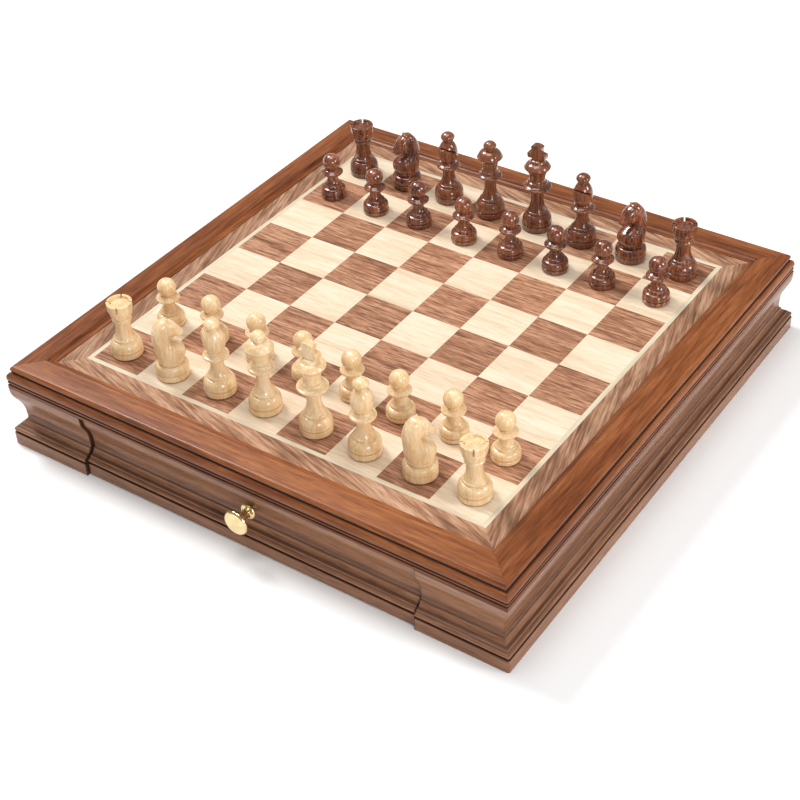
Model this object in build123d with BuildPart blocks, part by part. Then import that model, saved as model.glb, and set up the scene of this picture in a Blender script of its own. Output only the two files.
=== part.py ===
from build123d import *
import math
import os

# Chess set on an inlaid board cabinet with one drawer.
# Millimetres. Origin: middle of the board, on the table. +Z up, the drawer opens towards -Y,
# the light men stand at -Y and file a is at -X.

# ------------------------------------------------------------------ driving sizes
square = 37.0  # one square of the board
squares_per_side = 8
case_height = 60.0  # table to playing surface

veneer = 1.2  # squares, line and border, all flush
panel_thickness = 9.0  # core board under the veneers
inlay_width = 3.2  # pale line round the squares
border_width = 13.2  # veneer border seen between the line and the frame
lip_cover = 2.6  # how far the frame's lip covers the panel's edge
panel_play = 0.2  # room for the panel in its groove

lip_edge = 0.6  # square edge of the lip on the veneer
lip_cove_width = 4.6
crown_rise = 2.8  # highest line of the frame above the squares
rail_top_width = 16.8  # crown to nose
rail_top_fall = 0.8
ledge_thickness = 3.6  # frame below the panel
ledge_reach = 6.0  # how far it reaches in below the panel

base_projection = 4.9  # case base beyond the frame's nose
wall_thickness = 17.0
fascia_height = 8.6
floor_thickness = 4.0

corner_width = 63.7  # fixed moulding each side of the drawer
front_gap = 0.9  # drawer front to the corner blocks, each side
front_lift = 0.6  # drawer front off the table and below the frame
drawer_recess = 2.0  # drawer front behind the corner blocks
drawer_side = 6.0
drawer_bottom = 3.0
drawer_bottom_lift = 1.5
groove_depth = 3.0
lining = 0.8
slide_gap = 1.0  # drawer sides to guides and kickers
guide_width = 12.0
guide_height = 30.0
kicker_width = 14.0
kicker_height = 9.2
stop_length = 25.4
stop_size = 24.0
divider_height = 24.0
glue_block = 16.0

knob_offset = 5.0  # knob to the right of the middle
knob_rise = 20.4  # knob above the fascia
knob_seat_depth = 1.0  # flat seat cut below the moulded face
knob_seat_play = 0.3
screw_radius = 2.0
screw_play = 0.15
screw_head_radius = 4.0
screw_head_height = 2.4
screw_grip = 7.0  # thread inside the knob

pad = 0.7  # felt under each man
pad_inset = 0.9

# ------------------------------------------------------------------ places worked out
grid_half = square * squares_per_side / 2
inlay_half = grid_half + inlay_width
border_half = inlay_half + border_width
panel_half = border_half + lip_cover
ledge_half = panel_half - ledge_reach
crown_half = border_half + lip_cove_width
nose_half = crown_half + rail_top_width
base_half = nose_half + base_projection
inner_half = base_half - wall_thickness

board_top = case_height
core_top = board_top - veneer
core_foot = core_top - panel_thickness
rail_foot = core_foot - ledge_thickness
crown_top = board_top + crown_rise
nose_top = crown_top - rail_top_fall

opening_half = base_half - corner_width
front_half = opening_half - front_gap
front_back_y = -(inner_half - drawer_recess)
drawer_back_y = inner_half - stop_length
side_outer = opening_half - slide_gap
side_inner = side_outer - drawer_side
drawer_top = core_foot - kicker_height - slide_gap
bottom_z = floor_thickness + drawer_bottom_lift
bottom_top = bottom_z + drawer_bottom
lining_top = bottom_top + lining
knob_height = fascia_height + knob_rise

# ------------------------------------------------------------------ helpers

def save(part, name):
    """Label a finished piece and write it under its own name."""
    part.label = name
    export_step(part, f"parts/{name}.step")


def quarter(radius):
    """Bulge of the quarter arc from a ball's widest line to its top."""
    return radius * (1 - math.cos(math.radians(45)))


def dome(radius, rise):
    """Bulge of the arc over a round top, from its rim to the axis, level on the axis."""
    ball = (radius**2 + rise**2) / (2 * rise)
    return ball - math.sqrt(ball**2 - (radius**2 + rise**2) / 4)


def draw_outline(stations):
    """Join stations (x, y[, bulge]) in turn; bulge is how far the stretch that ends at the
    station swells to the right of its direction, and a negative one hollows it."""
    for start, end in zip(stations[:-1], stations[1:]):
        if len(end) == 3:
            SagittaArc(start[:2], end[:2], -end[2])
        else:
            Line(start[:2], end[:2])


def closed_face(stations):
    """Face inside a closed outline of stations."""
    with BuildLine() as outline:
        draw_outline(stations)
        Line(stations[-1][:2], stations[0][:2])
    make_face(outline.edges())


def side_plane(turn):
    """Upright plane across one side of the case: local x runs outwards, local y up."""
    out = (math.cos(math.radians(turn)), math.sin(math.radians(turn)), 0)
    return Plane(origin=(0, 0, 0), x_dir=out, z_dir=(out[1], -out[0], 0))


def mitre_planes(turn):
    """The two upright planes, through the middle of the case, that mitre one side's ends."""
    out = Vector(math.cos(math.radians(turn)), math.sin(math.radians(turn)), 0)
    along = Vector(-out.Y, out.X, 0)
    return [Plane(origin=(0, 0, 0), z_dir=along - out), Plane(origin=(0, 0, 0), z_dir=-along - out)]


def mitred_length(section, turn, reach):
    """A moulding of the given section along one whole side, mitred at both ends."""
    with BuildPart() as piece:
        with BuildSketch(side_plane(turn)):
            closed_face(section)
        extrude(amount=reach, both=True)
        for plane in mitre_planes(turn):
            split(bisect_by=plane, keep=Keep.BOTTOM)
    return piece.part


def block(x_range, y_range, z_range):
    """A plain board between three pairs of limits."""
    with BuildPart() as piece:
        with BuildSketch(Plane.XY.offset(z_range[0])):
            with Locations(((x_range[0] + x_range[1]) / 2, (y_range[0] + y_range[1]) / 2)):
                Rectangle(x_range[1] - x_range[0], y_range[1] - y_range[0])
        extrude(amount=z_range[1] - z_range[0])
    return piece.part


# ------------------------------------------------------------------ veneers and panel
def tiles(parity):
    """All the squares of one colour, each its own thin tile."""
    middles = [
        (square * (column + 0.5) - grid_half, square * (row + 0.5) - grid_half)
        for column in range(squares_per_side)
        for row in range(squares_per_side)
        if (column + row) % 2 == parity
    ]
    with BuildPart() as piece:
        with BuildSketch(Plane.XY.offset(core_top)):
            with Locations(*middles):
                Rectangle(square, square)
        extrude(amount=veneer)
    return piece.part


def mitred_strips(inner, outer):
    """Four veneer strips round the board, mitred at the corners."""
    section = [(inner, core_top), (outer, core_top), (outer, board_top), (inner, board_top)]
    return Compound(children=[mitred_length(section, turn, outer) for turn in (0, 90, 180, 270)])


def core_panel():
    return block((-panel_half, panel_half), (-panel_half, panel_half), (core_foot, core_top))


# ------------------------------------------------------------------ frame and walls
def rail_section():
    """Section of the frame from its ledge out, up the mouldings and back over to the groove."""
    groove = panel_half + panel_play
    return [
        (ledge_half, rail_foot),
        (nose_half + 2.7, rail_foot),
        (nose_half + 2.7, rail_foot + 1.9),
        (nose_half + 1.7, rail_foot + 2.4),
        (nose_half + 1.7, rail_foot + 3.0),
        (nose_half + 2.5, rail_foot + 3.4),
        (nose_half + 2.5, rail_foot + 4.4),
        (nose_half + 1.8, rail_foot + 4.7),
        (nose_half + 1.8, rail_foot + 5.3),
        (nose_half + 2.4, rail_foot + 5.7),
        (nose_half + 0.5, nose_top - 4.8, 1.0),
        (nose_half - 0.7, nose_top - 4.6),
        (nose_half - 0.7, nose_top - 3.7),
        (nose_half - 0.1, nose_top - 3.3),
        (nose_half - 1.7, nose_top, 0.8),
        (crown_half + 0.8, crown_top, 0.1),
        (crown_half - 0.3, crown_top - 0.6, 0.25),
        (border_half + 0.5, board_top + lip_edge + 0.1, -0.5),
        (border_half, board_top + lip_edge - 0.2, 0.1),
        (border_half, board_top),
        (groove, board_top),
        (groove, core_foot),
        (ledge_half, core_foot),
    ]


# the wall's moulding above the fascia: set back from the base, height as drawn[, bulge]
cove_foot = (7.8, 15.0)
cove_head = (5.0, 26.6)
wall_moulding = [
    (0, 0),
    (0.5, 0.6, 0.15),
    (1.8, 0.7),
    (1.8, 1.4),
    (1.0, 1.7),
    (1.4, 4.3, 0.9),
    (2.4, 4.6),
    (2.7, 5.7),
    (3.5, 6.0),
    (6.6, 8.5, -0.4),
    (7.6, 9.9, 0.5),
    (*cove_foot, -0.3),
    (*cove_head, -0.9),
    (2.6, 33.6, 0.5),
    (2.3, 37.6),
]
drawn_height = wall_moulding[-1][1]


def on_wall(back, up, *bulge):
    """A station of the wall moulding, its height stretched to the height of the case."""
    return (base_half - back, fascia_height + up * (rail_foot - fascia_height) / drawn_height, *bulge)


def wall_section():
    """Section of the case wall: fascia, base bead, ledge and the tall cove up to the frame."""
    face = [on_wall(*station) for station in wall_moulding]
    return [(inner_half, 0), (base_half, 0), *face, (inner_half, rail_foot)]


def side_wall(turn):
    return mitred_length(wall_section(), turn, base_half)


def front_length(x_low, x_high, shift, z_low, z_high):
    """A stretch of the wall moulding along the front, set back by shift and cut to a height."""
    reach = (x_high - x_low) / 2
    middle = (x_high + x_low) / 2
    plane = Plane(origin=(middle, shift, 0), x_dir=(0, -1, 0), z_dir=(-1, 0, 0))
    with BuildPart() as piece:
        with BuildSketch(plane):
            closed_face(wall_section())
        extrude(amount=reach, both=True)
        split(bisect_by=Plane.XY.offset(z_low), keep=Keep.TOP)
        split(bisect_by=Plane.XY.offset(z_high), keep=Keep.BOTTOM)
    return piece.part


def corner_block(side):
    """The fixed moulding between the drawer and a front corner, mitred to the side wall."""
    ends = sorted((side * opening_half, side * base_half))
    with BuildPart() as piece:
        add(front_length(ends[0], ends[1], 0, 0, rail_foot))
        for plane in mitre_planes(270):
            split(bisect_by=plane, keep=Keep.BOTTOM)
    return piece.part


def floor_panel():
    return block((-inner_half, inner_half), (front_back_y + front_gap, inner_half), (0, floor_thickness))


def drawer_guides():
    """Two battens on the floor that keep the drawer running straight."""
    inner = opening_half
    height = (floor_thickness, floor_thickness + guide_height)
    return Compound(
        children=[
            block(sorted((side * inner, side * (inner + guide_width))), (-inner_half, inner_half), height)
            for side in (-1, 1)
        ]
    )


def drawer_kickers():
    """Two battens under the panel that keep the drawer from tipping as it comes out."""
    outer = side_outer
    height = (drawer_top + slide_gap, core_foot)
    return Compound(
        children=[
            block(sorted((side * outer, side * (outer - kicker_width))), (-ledge_half, ledge_half), height)
            for side in (-1, 1)
        ]
    )


def drawer_stop():
    """Block at the back that the closed drawer meets."""
    half = stop_size / 2
    top = floor_thickness + stop_size
    return block((-half, half), (drawer_back_y, inner_half), (floor_thickness, top))


def glue_blocks():
    """Triangular blocks inside the four corners of the case."""
    pieces = []
    for turn in (45, 135, 225, 315):
        cx = math.copysign(inner_half, math.cos(math.radians(turn)))
        cy = math.copysign(inner_half, math.sin(math.radians(turn)))
        leg_x = cx - math.copysign(glue_block, cx)
        leg_y = cy - math.copysign(glue_block, cy)
        with BuildPart() as piece:
            with BuildSketch(Plane.XY.offset(floor_thickness)):
                with BuildLine():
                    Polyline((cx, cy), (leg_x, cy), (cx, leg_y), close=True)
                make_face()
            extrude(amount=rail_foot - floor_thickness)
        pieces.append(piece.part)
    return Compound(children=pieces)


# ------------------------------------------------------------------ drawer
def cove_radius_at(height):
    """Half-width of the wall moulding on its lower cove at a height above the table."""
    low = on_wall(*cove_foot)
    high = on_wall(*cove_head)
    share = (height - low[1]) / (high[1] - low[1])
    return low[0] + share * (high[0] - low[0])


knob_seat_y = -(cove_radius_at(knob_height) - drawer_recess - knob_seat_depth)
knob_axis = Axis((knob_offset, 0, knob_height), (0, -1, 0))

knob_section = [
    (2.6, 0),
    (2.6, 2.4),
    (4.6, 3.2, 0.1),
    (4.6, 5.8, 0.9),
    (2.9, 6.6, -0.2),
    (3.0, 11.4, -0.3),
    (6.9, 14.6, -0.7),
    (8.2, 15.2, 0.1),
    (8.2, 17.0, 0.35),
    (7.4, 17.6, 0.1),
    (0, 18.1, dome(7.4, 0.5)),
]
knob_foot_radius = knob_section[0][0]


def knob_plane():
    """Plane through the knob's axis: local x is the radius, local y runs out of the drawer."""
    return Plane(origin=(knob_offset, knob_seat_y, knob_height), x_dir=(1, 0, 0), z_dir=(0, 0, -1))


def drawer_front():
    """Moulded front with a flat seat for the knob and a hole for its screw."""
    face = Plane(origin=(knob_offset, knob_seat_y, knob_height), x_dir=(1, 0, 0), z_dir=(0, -1, 0))
    with BuildPart() as piece:
        add(front_length(-front_half, front_half, drawer_recess, front_lift, rail_foot - front_lift))
        with BuildSketch(face):
            Circle(knob_foot_radius + knob_seat_play)
        extrude(amount=base_projection + wall_thickness, mode=Mode.SUBTRACT)
        with BuildSketch(face):
            Circle(screw_radius + screw_play)
        extrude(amount=wall_thickness, both=True, mode=Mode.SUBTRACT)
    return piece.part


def drawer_side_board(side):
    """Side of the drawer box, grooved for the bottom."""
    x_range = sorted((side * side_inner, side * side_outer))
    groove_x = sorted((side * side_inner, side * (side_inner + groove_depth)))
    board = block(x_range, (front_back_y, drawer_back_y), (floor_thickness, drawer_top))
    groove = block(groove_x, (front_back_y, drawer_back_y), (bottom_z, bottom_top))
    with BuildPart() as piece:
        add(board)
        add(groove, mode=Mode.SUBTRACT)
    return piece.part


def drawer_back_board():
    """Back of the drawer box, standing on the bottom between the sides."""
    y_range = (drawer_back_y - drawer_side, drawer_back_y)
    return block((-side_inner, side_inner), y_range, (bottom_top, drawer_top))


def drawer_bottom_board():
    half = side_inner + groove_depth
    return block((-half, half), (front_back_y, drawer_back_y), (bottom_z, bottom_top))


def drawer_lining():
    """Felt on the bottom, in two halves, one each side of the divider."""
    half_divider = drawer_side / 2
    y_range = (front_back_y, drawer_back_y - drawer_side)
    return Compound(
        children=[
            block(sorted((side * half_divider, side * side_inner)), y_range, (bottom_top, lining_top))
            for side in (-1, 1)
        ]
    )


def drawer_divider():
    """Board down the middle that keeps the two armies apart."""
    y_range = (front_back_y + screw_head_height + slide_gap, drawer_back_y - drawer_side)
    z_range = (bottom_top, bottom_top + divider_height)
    return block((-drawer_side / 2, drawer_side / 2), y_range, z_range)


def knob():
    """Turned brass knob, bored from behind for its screw."""
    with BuildPart() as piece:
        with BuildSketch(knob_plane()):
            closed_face([(0, 0)] + knob_section)
        revolve(axis=Axis((knob_offset, 0, knob_height), (0, 1, 0)))
        with BuildSketch(Plane(origin=(knob_offset, knob_seat_y, knob_height), z_dir=(0, -1, 0))):
            Circle(screw_radius + screw_play)
        extrude(amount=screw_grip + 1, mode=Mode.SUBTRACT)
    return piece.part


def knob_screw():
    """Screw from inside the drawer, through the front, into the knob."""
    inside = Plane(origin=(knob_offset, front_back_y, knob_height), z_dir=(0, 1, 0))
    with BuildPart() as piece:
        with BuildSketch(inside):
            Circle(screw_head_radius)
        extrude(amount=screw_head_height)
        fillet(piece.edges().filter_by(GeomType.CIRCLE).sort_by(Axis.Y)[-1], screw_head_height * 0.6)
        with BuildSketch(inside):
            Circle(screw_radius)
        extrude(amount=knob_seat_y - screw_grip - front_back_y)
    return piece.part


# ------------------------------------------------------------------ men
big = 10.4  # radius at the foot of the tall men
small = 9.2  # radius at the foot of a pawn
knight_foot = 10.7
knight_turn = math.radians(28)  # knights look past straight ahead


def foot(radius, ring, shoulder):
    """Foot of every man: a flat ring, a groove and a swelling that closes on the stem."""
    return [
        (radius - 0.4, pad),
        (radius, pad + 0.5, 0.15),
        (radius, ring, 0.05),
        (radius - 0.9, ring + 0.4, 0.1),
        (radius - 0.9, ring + 0.8),
        (radius, ring + 1.4, 0.2),
        (radius - 0.2, ring + 2.6, 0.1),
        (0.76 * radius, shoulder, 0.7),
        (0.70 * radius, shoulder + 0.2),
        (0.69 * radius, shoulder + 2.0, 0.25),
        (0.64 * radius, shoulder + 2.3),
    ]


pawn_ball = 6.3
pawn_ball_middle = 28.1
pawn_section = foot(small, 3.0, 8.6) + [
    (3.9, 16.6, -0.75),
    (4.1, 18.6, -0.1),
    (7.0, 19.2, -0.1),
    (7.0, 21.2, 0.75),
    (3.9, 23.2, 0.15),
    (pawn_ball, pawn_ball_middle, 0.57),
    (0, pawn_ball_middle + pawn_ball, quarter(pawn_ball)),
]

rook_section = foot(big, 4.0, 11.4) + [
    (5.0, 22.4, -0.5),
    (5.1, 25.8, -0.1),
    (5.9, 26.4),
    (5.9, 28.0, 0.4),
    (5.6, 28.4),
    (7.2, 32.4, 0.35),
    (7.6, 34.0, 0.1),
    (7.4, 34.2),
    (7.4, 34.5),
    (8.0, 34.7),
    (8.3, 39.6),
    (7.9, 40.2, 0.2),
    (6.3, 40.2),
    (6.0, 38.5, -0.1),
    (0, 38.5),
]

bishop_section = foot(big, 4.4, 12.0) + [
    (4.3, 23.2, -0.8),
    (4.4, 26.2, -0.1),
    (7.9, 27.4, -0.4),
    (7.9, 29.2, 0.45),
    (5.2, 31.0, -0.3),
    (4.6, 31.6, 0.2),
    (6.9, 39.2, 0.9),
    (3.2, 48.0, 1.0),
    (2.9, 48.8, -0.2),
    (4.5, 50.0, 0.4),
    (4.5, 52.6, 0.5),
    (0, 54.8, dome(4.5, 2.2)),
]

queen_section = foot(big, 4.4, 12.2) + [
    (4.2, 25.0, -0.8),
    (4.4, 29.4, -0.1),
    (8.0, 31.0, -0.5),
    (8.0, 32.8, 0.45),
    (5.9, 34.6, -0.3),
    (5.9, 35.8, 0.35),
    (5.4, 36.2),
    (5.6, 41.2, -0.4),
    (8.6, 46.0, -0.7),
    (8.6, 47.8, 0.5),
    (4.0, 52.2, 0.9),
    (3.6, 53.0, -0.2),
    (4.3, 54.4, 0.4),
    (4.3, 56.4, 0.35),
    (0, 58.8, dome(4.3, 2.4)),
]

king_section = foot(big, 4.4, 12.6) + [
    (4.5, 26.6, -0.8),
    (4.6, 30.8, -0.1),
    (9.4, 33.0, -0.8),
    (9.5, 34.6, 0.5),
    (6.6, 36.6, -0.3),
    (6.4, 37.8, 0.35),
    (5.8, 38.2),
    (5.6, 41.2, -0.3),
    (8.8, 48.2, -0.7),
    (8.8, 50.0, 0.5),
    (5.8, 52.6, 0.4),
    (5.4, 53.0),
    (2.7, 55.0, 0.5),
    (0, 55.0),
]

knight_section = [
    (knight_foot - 0.4, pad),
    (knight_foot, pad + 0.5, 0.15),
    (knight_foot, 4.4, 0.05),
    (knight_foot - 0.5, 4.7, 0.1),
    (knight_foot - 0.5, 4.9),
    (knight_foot, 5.7, 0.2),
    (knight_foot - 0.4, 9.0, 0.2),
    (8.2, 10.8, 0.4),
    (7.9, 11.8, -0.4),
    (8.6, 12.6, 0.1),
    (8.6, 13.4),
    (0, 13.4),
]

# the knight's head from the side: x forwards, y up
knight_side = [
    (-8.2, 12.8),
    (8.0, 12.8),
    (9.0, 19.4, 0.9),
    (3.4, 26.6, 0.9),
    (4.2, 28.6, -0.7),
    (7.2, 28.0, 0.4),
    (10.0, 30.2, 0.4),
    (9.4, 33.6, 0.6),
    (4.8, 37.8, -0.3),
    (2.0, 40.4, 0.5),
    (1.4, 43.0, -0.2),
    (-1.4, 42.6, 0.4),
    (-6.8, 36.4, 0.8),
    (-9.4, 26.0, 0.9),
]
# and from the front: half-width at each height
knight_front = [
    (8.4, 12.8),
    (8.2, 20.0, 0.2),
    (6.2, 31.0, -0.3),
    (5.8, 36.0, 0.2),
    (3.2, 43.2, 0.4),
]


# slots across a rook's rim
rook_top = 40.2
slot_width = 1.1
slot_depth = 4.2
slot_turn = 30.0

# slanting cut in a bishop's head
mitre_cut_height = 43.0
mitre_cut_width = 1.0
mitre_cut_reach = 5.0
mitre_cut_tilt = math.radians(30)

# half of the king's cross, seen from the front
cross_thickness = 5.2
cross_outline = [
    (2.7, 54.6),
    (2.8, 56.0, -0.2),
    (6.2, 55.8),
    (6.6, 60.0, 0.4),
    (3.2, 60.4),
    (4.1, 65.0, -0.2),
    (0, 66.2, dome(4.1, 1.2)),
]


def turned(section, place):
    """A turned man standing on the board at place."""
    closing = [(0, section[0][1])]
    if section[-1][0] > 0:
        closing.insert(0, (0, section[-1][1]))
    with BuildPart() as wood:
        with BuildSketch(Plane(origin=place, x_dir=(1, 0, 0), z_dir=(0, -1, 0))):
            closed_face(section + closing)
        revolve(axis=Axis(place, (0, 0, 1)))
    return wood.part


def with_pad(wood, place, radius):
    """The man together with the round felt glued under it."""
    with BuildPart() as felt:
        with BuildSketch(Plane(origin=place)):
            Circle(radius - pad_inset)
        extrude(amount=pad)
    return Compound(children=[wood, felt.part])


def mirrored(stations):
    """The same outline on the other side of the upright middle line."""
    return [(-x, y, *[-bulge for bulge in rest]) for x, y, *rest in stations]


def symmetric_face(stations):
    """Face between an outline and its mirror image."""
    with BuildLine() as outline:
        draw_outline(stations)
        draw_outline(mirrored(stations))
        Line(stations[0][:2], mirrored(stations)[0][:2])
        if stations[-1][0] > 0:
            Line(stations[-1][:2], mirrored(stations)[-1][:2])
    make_face(outline.edges())


def pawn(place, facing):
    return with_pad(turned(pawn_section, place), place, small)


def rook(place, facing):
    """Tower with a dished top and four narrow slots across its rim."""
    slot_floor = Plane(origin=(place[0], place[1], place[2] + rook_top - slot_depth))
    with BuildPart() as wood:
        add(turned(rook_section, place))
        with BuildSketch(slot_floor):
            with PolarLocations(8.0, 4, start_angle=slot_turn):
                Rectangle(5.0, slot_width)
        extrude(amount=2 * slot_depth, mode=Mode.SUBTRACT)
    return with_pad(wood.part, place, big)


def bishop(place, facing):
    """Mitre head with one slanting cut on its front."""
    cut = Plane(
        origin=(place[0], place[1] + facing * mitre_cut_reach, place[2] + mitre_cut_height),
        x_dir=(1, 0, 0),
        z_dir=(0, -facing * math.sin(mitre_cut_tilt), math.cos(mitre_cut_tilt)),
    )
    with BuildPart() as wood:
        add(turned(bishop_section, place))
        with BuildSketch(cut):
            Rectangle(2 * big, 2 * mitre_cut_reach)
        extrude(amount=mitre_cut_width, mode=Mode.SUBTRACT)
    return with_pad(wood.part, place, big)


def queen(place, facing):
    return with_pad(turned(queen_section, place), place, big)


def king(place, facing):
    """Crown with a thick cross on top, its flat face turned to the players."""
    with BuildPart() as wood:
        add(turned(king_section, place))
        with BuildSketch(Plane(origin=place, x_dir=(1, 0, 0), z_dir=(0, -1, 0))):
            symmetric_face(cross_outline)
        extrude(amount=cross_thickness / 2, both=True)
    return with_pad(wood.part, place, big)


def knight(place, facing):
    """Horse's head carved from a turned blank, on a turned foot, looking a little to one side."""
    ahead = (facing * math.sin(knight_turn), facing * math.cos(knight_turn), 0)
    with BuildPart() as wood:
        with BuildSketch(Plane(origin=place, x_dir=ahead, z_dir=(ahead[1], -ahead[0], 0))):
            closed_face(knight_side)
        extrude(amount=knight_foot, both=True)
        with BuildSketch(Plane(origin=place, x_dir=(ahead[1], -ahead[0], 0), z_dir=(-ahead[0], -ahead[1], 0))):
            symmetric_face(knight_front)
        extrude(amount=2 * knight_foot, both=True, mode=Mode.INTERSECT)
        with BuildSketch(Plane(origin=place)):
            Circle(knight_foot)
        extrude(amount=2 * square, mode=Mode.INTERSECT)
        add(turned(knight_section, place))
    return with_pad(wood.part, place, knight_foot)


back_rank = [rook, knight, bishop, queen, king, bishop, knight, rook]
files = "abcdefgh"

# where a man stands off the middle of its square, as hands leave it
off_centre = {
    "light_rook_a": (-3.0, -3.1),
    "light_knight_b": (0.2, -5.1),
    "light_bishop_c": (-0.2, -2.4),
    "light_queen_d": (-2.0, -1.5),
    "light_king_e": (0.0, -1.8),
    "light_bishop_f": (-0.1, -2.9),
    "light_knight_g": (1.8, -2.2),
    "light_rook_h": (1.9, -1.3),
    "light_pawn_f": (-0.9, -1.3),
    "light_pawn_h": (-0.3, -1.1),
    "dark_rook_a": (-0.8, -1.0),
    "dark_queen_d": (-1.0, -1.4),
    "dark_king_e": (-0.5, 0.3),
    "dark_bishop_f": (-1.1, -0.3),
    "dark_rook_h": (1.9, -0.3),
    "dark_pawn_a": (-1.1, -2.2),
    "dark_pawn_b": (0.7, -3.8),
    "dark_pawn_c": (-0.5, -1.8),
    "dark_pawn_d": (1.4, -3.1),
    "dark_pawn_e": (1.3, -1.7),
    "dark_pawn_f": (-0.1, -1.5),
    "dark_pawn_g": (-1.3, -0.8),
    "dark_pawn_h": (1.5, 0.5),
}


def set_up_men():
    """All thirty-two men in the starting position, as (name, solid) pairs."""
    men = []
    for army, facing in (("light", 1), ("dark", -1)):
        for column, letter in enumerate(files):
            maker = back_rank[column]
            for kind, make, row in ((maker.__name__, maker, 0.5), ("pawn", pawn, 1.5)):
                name = f"{army}_{kind}_{letter}"
                dx, dy = off_centre.get(name, (0, 0))
                x = square * (column + 0.5) - grid_half + dx
                y = -facing * (grid_half - square * row) + dy
                men.append((name, make((x, y, board_top), facing)))
    return men


# ------------------------------------------------------------------ build and write
os.makedirs("parts", exist_ok=True)

save(tiles(1), "light_squares")
save(tiles(0), "dark_squares")
save(mitred_strips(grid_half, inlay_half), "line_inlay")
save(mitred_strips(inlay_half, panel_half), "veneer_border")
save(core_panel(), "board_panel")

for rail, turn in (("rail_right", 0), ("rail_back", 90), ("rail_left", 180), ("rail_front", 270)):
    save(mitred_length(rail_section(), turn, base_half), rail)
for wall, turn in (("side_wall_right", 0), ("back_wall", 90), ("side_wall_left", 180)):
    save(side_wall(turn), wall)
save(corner_block(-1), "corner_block_left")
save(corner_block(1), "corner_block_right")
save(floor_panel(), "floor_panel")
save(glue_blocks(), "glue_blocks")
save(drawer_guides(), "drawer_guides")
save(drawer_kickers(), "drawer_kickers")
save(drawer_stop(), "drawer_stop")

save(drawer_front(), "drawer_front")
save(drawer_side_board(-1), "drawer_side_left")
save(drawer_side_board(1), "drawer_side_right")
save(drawer_back_board(), "drawer_back")
save(drawer_bottom_board(), "drawer_bottom")
save(drawer_lining(), "drawer_lining")
save(drawer_divider(), "drawer_divider")
save(knob(), "knob")
save(knob_screw(), "knob_screw")

for man_name, man in set_up_men():
    save(man, man_name)
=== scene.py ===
"""Looks of a chess set on an inlaid board cabinet with one drawer.

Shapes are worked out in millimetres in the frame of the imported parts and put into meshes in
metres. Every moulding and every turned man is a section of stations (x, y[, bulge]).
"""
import math

import bpy
import numpy as np
from mathutils import Matrix, Vector


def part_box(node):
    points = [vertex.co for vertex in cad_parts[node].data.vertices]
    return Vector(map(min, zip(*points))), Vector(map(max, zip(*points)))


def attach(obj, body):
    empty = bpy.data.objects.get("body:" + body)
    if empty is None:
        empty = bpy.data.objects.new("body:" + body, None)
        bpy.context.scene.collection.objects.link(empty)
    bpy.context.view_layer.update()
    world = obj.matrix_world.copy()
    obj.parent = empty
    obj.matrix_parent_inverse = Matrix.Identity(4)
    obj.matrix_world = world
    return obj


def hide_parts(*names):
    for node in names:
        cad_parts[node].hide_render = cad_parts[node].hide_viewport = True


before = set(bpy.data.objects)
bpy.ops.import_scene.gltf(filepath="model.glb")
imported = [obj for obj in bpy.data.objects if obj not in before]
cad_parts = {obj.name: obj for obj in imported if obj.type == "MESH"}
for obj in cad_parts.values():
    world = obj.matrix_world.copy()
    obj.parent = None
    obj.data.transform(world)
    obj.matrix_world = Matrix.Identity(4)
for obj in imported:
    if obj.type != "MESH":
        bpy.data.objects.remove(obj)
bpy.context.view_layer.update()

MM = 0.001

# ------------------------------------------------------------------ sizes, mm
board_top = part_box("light_squares")[1].z / MM
grid_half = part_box("light_squares")[1].x / MM
square = grid_half / 4
base_half = -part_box("side_wall_right")[0].y / MM
wall_thickness = 17.0
base_projection = 4.9  # case base beyond the frame's nose
rail_top_width = 16.8  # crown to nose
lip_cove_width = 4.6
panel_play = 0.2
crown_rise = 2.8  # highest line of the frame above the squares
rail_top_fall = 0.8
drawer_recess = 2.0  # drawer front behind the corner blocks
nose_half = base_half - base_projection
crown_half = nose_half - rail_top_width
border_half = crown_half - lip_cove_width
panel_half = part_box("board_panel")[1].x / MM
core_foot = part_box("board_panel")[0].z / MM
rail_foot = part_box("rail_front")[0].z / MM
ledge_half = -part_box("rail_front")[1].y / MM
crown_top = board_top + crown_rise
nose_top = crown_top - rail_top_fall
fascia_height = 8.6
inner_half = base_half - wall_thickness
opening_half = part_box("corner_block_right")[0].x / MM
front_low, front_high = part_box("drawer_front")
pad = 0.7  # felt under each man
pad_inset = 0.9


# ------------------------------------------------------------------ outlines
def arc_points(start, end, bulge, steps):
    """Points after start on the circular arc to end. The middle of the arc stands off the
    middle of the chord by bulge to the right of travel; its centre lies one radius back."""
    start, end = np.array(start, float), np.array(end, float)
    chord = end - start
    length = np.hypot(*chord)
    if abs(bulge) < 1e-6:
        return end[None]
    radius = (length**2 / 4 + bulge**2) / (2 * abs(bulge))
    right = np.array([chord[1], -chord[0]]) / length
    centre = (start + end) / 2 + right * (bulge - math.copysign(radius, bulge))
    first = math.atan2(*(start - centre)[::-1])
    sweep = math.atan2(*(end - centre)[::-1]) - first
    sweep = (sweep + math.pi) % (2 * math.pi) - math.pi
    angle = first + sweep * np.arange(1, steps + 1) / steps
    return centre + radius * np.stack([np.cos(angle), np.sin(angle)], axis=1)


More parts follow.
